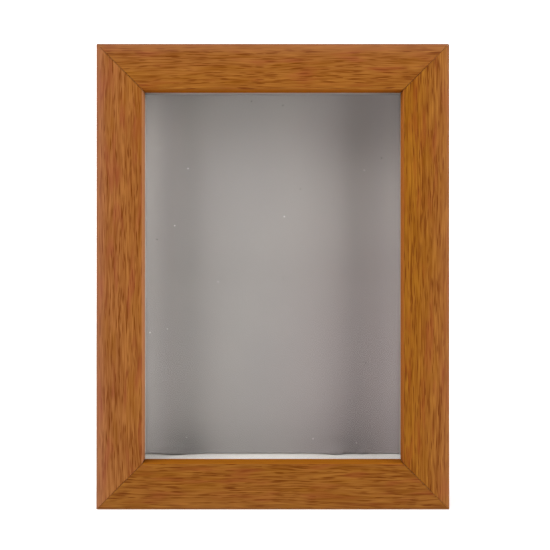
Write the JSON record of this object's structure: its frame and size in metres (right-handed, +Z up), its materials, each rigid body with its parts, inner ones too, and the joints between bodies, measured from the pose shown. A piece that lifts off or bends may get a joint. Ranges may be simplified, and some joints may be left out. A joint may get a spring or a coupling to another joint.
{
  "type": "shadow box",
  "caption": "Upright wood-look shadow box with a deep glazed display space, a removable back held by turn buttons, and sawtooth hangers for either way up.",
  "frame": {"origin": "middle of the underside: halfway across the width and the overall depth, at the lowest point", "axes": "+X to the viewer's right, +Y from the glazed front to the wall side, +Z up the long way"},
  "size_m": [0.16, 0.0414, 0.211],
  "materials": {
    "foil": "satin wood-grain foil over fibreboard, red-brown with dark pore dashes",
    "glass": "clear float glass",
    "spacer": "matt white card",
    "facing": "smooth matt warm grey",
    "board": "plain grey-brown board",
    "back": "smooth brown hardboard",
    "steel": "bright zinc plate",
    "brass": "brass-plated nail",
    "rubber": "matt dark rubber"
  },
  "bodies": {
    "frame": {"top_rail": "foil", "bottom_rail": "foil", "left_rail": "foil", "right_rail": "foil", "glass_pane": "glass", "spacer_top": "spacer", "spacer_bottom": "spacer", "spacer_left": "spacer", "spacer_right": "spacer", "v_nail_1": "steel", "v_nail_2": "steel", "v_nail_3": "steel", "v_nail_4": "steel", "v_nail_5": "steel", "v_nail_6": "steel", "v_nail_7": "steel", "v_nail_8": "steel", "button_screw_1": "steel", "button_screw_2": "steel", "button_screw_3": "steel", "button_screw_4": "steel", "hanger_top": "steel", "hanger_side": "steel", "hanger_nail_1": "brass", "hanger_nail_2": "brass", "hanger_nail_3": "brass", "hanger_nail_4": "brass", "bumper_1": "rubber", "bumper_2": "rubber", "bumper_3": "rubber", "bumper_4": "rubber"},
    "back_set": {"facing_card": "facing", "display_board": "board", "back_panel": "back"},
    "button_1": {"turn_button_1": "steel"},
    "button_2": {"turn_button_2": "steel"},
    "button_3": {"turn_button_3": "steel"},
    "button_4": {"turn_button_4": "steel"}
  },
  "joints": [
    {"name": "back_slide", "type": "slide", "parent": "frame", "child": "back_set", "axis": [0, 1, 0], "range_m": [0, 0.06]},
    {"name": "button_1_swing", "type": "hinge", "parent": "frame", "child": "button_1", "pos_m": [-0.072, 0.01795, 0.1555], "axis": [0, -1, 0], "continuous": true},
    {"name": "button_2_swing", "type": "hinge", "parent": "frame", "child": "button_2", "pos_m": [-0.072, 0.01795, 0.0555], "axis": [0, -1, 0], "continuous": true},
    {"name": "button_3_swing", "type": "hinge", "parent": "frame", "child": "button_3", "pos_m": [0.072, 0.01795, 0.1555], "axis": [0, 1, 0], "continuous": true},
    {"name": "button_4_swing", "type": "hinge", "parent": "frame", "child": "button_4", "pos_m": [0.072, 0.01795, 0.0555], "axis": [0, 1, 0], "continuous": true}
  ]
}
